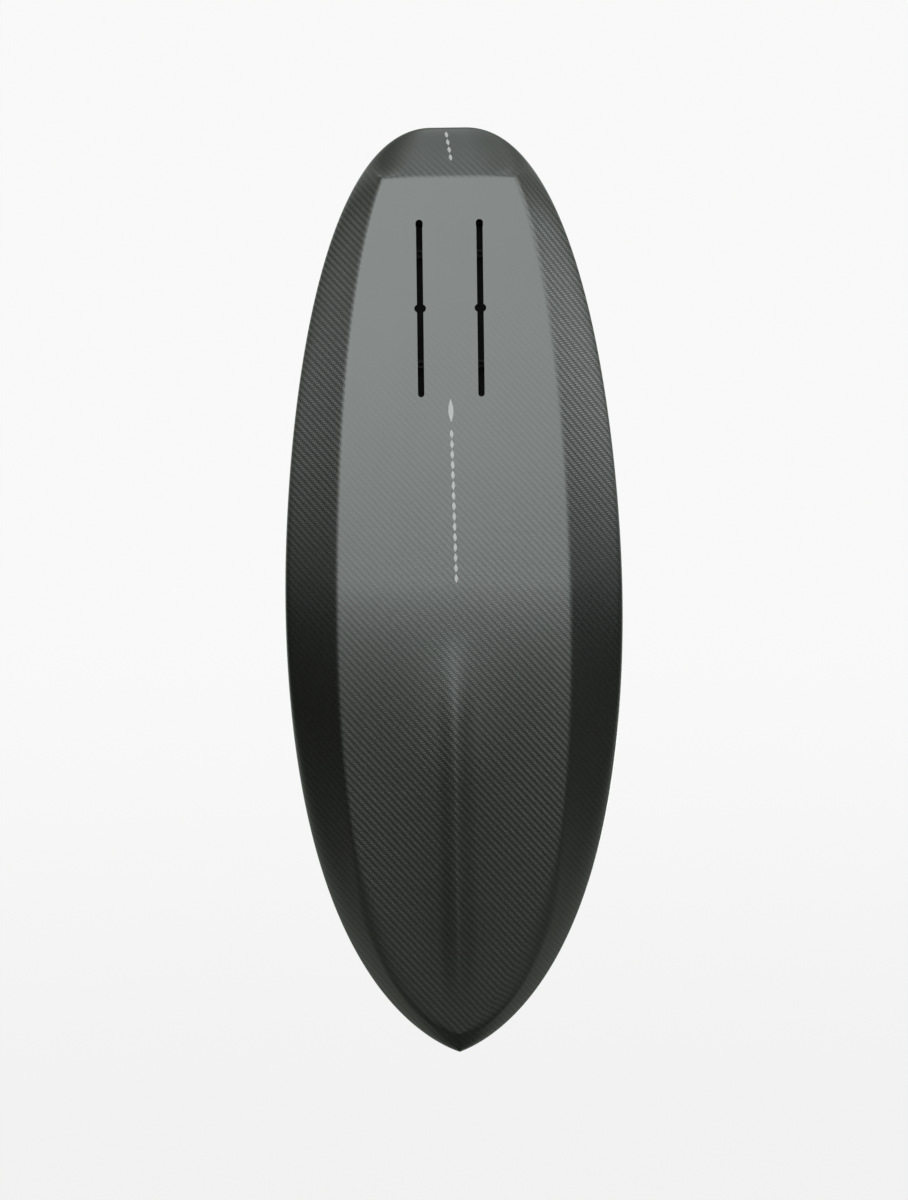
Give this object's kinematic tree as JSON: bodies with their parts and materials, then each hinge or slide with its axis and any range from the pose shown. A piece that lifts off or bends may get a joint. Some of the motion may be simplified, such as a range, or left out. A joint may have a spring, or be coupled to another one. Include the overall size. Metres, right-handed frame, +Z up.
{
  "type": "kiteboard",
  "caption": "Directional carbon hydrofoil kiteboard with a bevelled bottom, slotted foil tracks, padded deck, strap inserts, leash plug and air vent.",
  "frame": {"origin": "under the middle of the board, on the plane that the flat bottom panel rests on", "axes": "+X towards the nose, +Y towards the left edge seen from above, +Z up through the deck"},
  "size_m": [1.4, 0.508, 0.1035],
  "materials": {
    "carbon_bottom": "satin",
    "carbon_deck": "satin",
    "foam_core": "matte",
    "dense_foam": "matte",
    "black_plastic": "satin",
    "grip_pad": "matte",
    "steel": "satin",
    "nut_steel": "satin",
    "brass": "satin",
    "seal_rubber": "matte"
  },
  "bodies": {
    "board": {"bottom_skin": "carbon_bottom", "deck_skin": "carbon_deck", "foam_core": "foam_core", "deck_stiffener_sheet": "dense_foam", "track_block": "dense_foam", "left_track_box": "black_plastic", "right_track_box": "black_plastic", "rear_pad": "grip_pad", "middle_pad": "grip_pad", "front_pad": "grip_pad", "rear_left_aft_plug": "black_plastic", "rear_left_fore_plug": "black_plastic", "rear_right_aft_plug": "black_plastic", "rear_right_fore_plug": "black_plastic", "front_left_aft_plug": "black_plastic", "front_left_fore_plug": "black_plastic", "front_right_aft_plug": "black_plastic", "front_right_fore_plug": "black_plastic", "rear_left_aft_insert": "brass", "rear_left_fore_insert": "brass", "rear_right_aft_insert": "brass", "rear_right_fore_insert": "brass", "front_left_aft_insert": "brass", "front_left_fore_insert": "brass", "front_right_aft_insert": "brass", "front_right_fore_insert": "brass", "leash_plug_cup": "black_plastic", "leash_plug_bar": "steel", "vent_housing": "black_plastic"},
    "left_rear_slider": {"left_rear_nut": "nut_steel"},
    "left_front_slider": {"left_front_nut": "nut_steel"},
    "right_rear_slider": {"right_rear_nut": "nut_steel"},
    "right_front_slider": {"right_front_nut": "nut_steel"},
    "vent_seal": {"vent_oring": "seal_rubber"},
    "vent_plug": {"vent_screw": "steel"}
  },
  "joints": [
    {"name": "left_rear_nut_slide", "type": "slide", "parent": "board", "child": "left_rear_slider", "axis": [1, 0, 0], "range_m": [-0.042, 0.068]},
    {"name": "left_front_nut_slide", "type": "slide", "parent": "board", "child": "left_front_slider", "axis": [1, 0, 0], "range_m": [-0.068, 0.042]},
    {"name": "right_rear_nut_slide", "type": "slide", "parent": "board", "child": "right_rear_slider", "axis": [1, 0, 0], "range_m": [-0.042, 0.068]},
    {"name": "right_front_nut_slide", "type": "slide", "parent": "board", "child": "right_front_slider", "axis": [1, 0, 0], "range_m": [-0.068, 0.042]},
    {"name": "vent_rise", "type": "slide", "parent": "board", "child": "vent_seal", "axis": [0, 0, 1], "range_m": [0, 0.0041]},
    {"name": "vent_turn", "type": "hinge", "parent": "vent_seal", "child": "vent_plug", "pos_m": [0.232, 0, 0.06], "axis": [0, 0, 1], "range_deg": [0, 1440]}
  ],
  "couplings": [
    {"joint": "vent_rise", "follows": "vent_turn", "m_per_rad": 0.00015915}
  ]
}
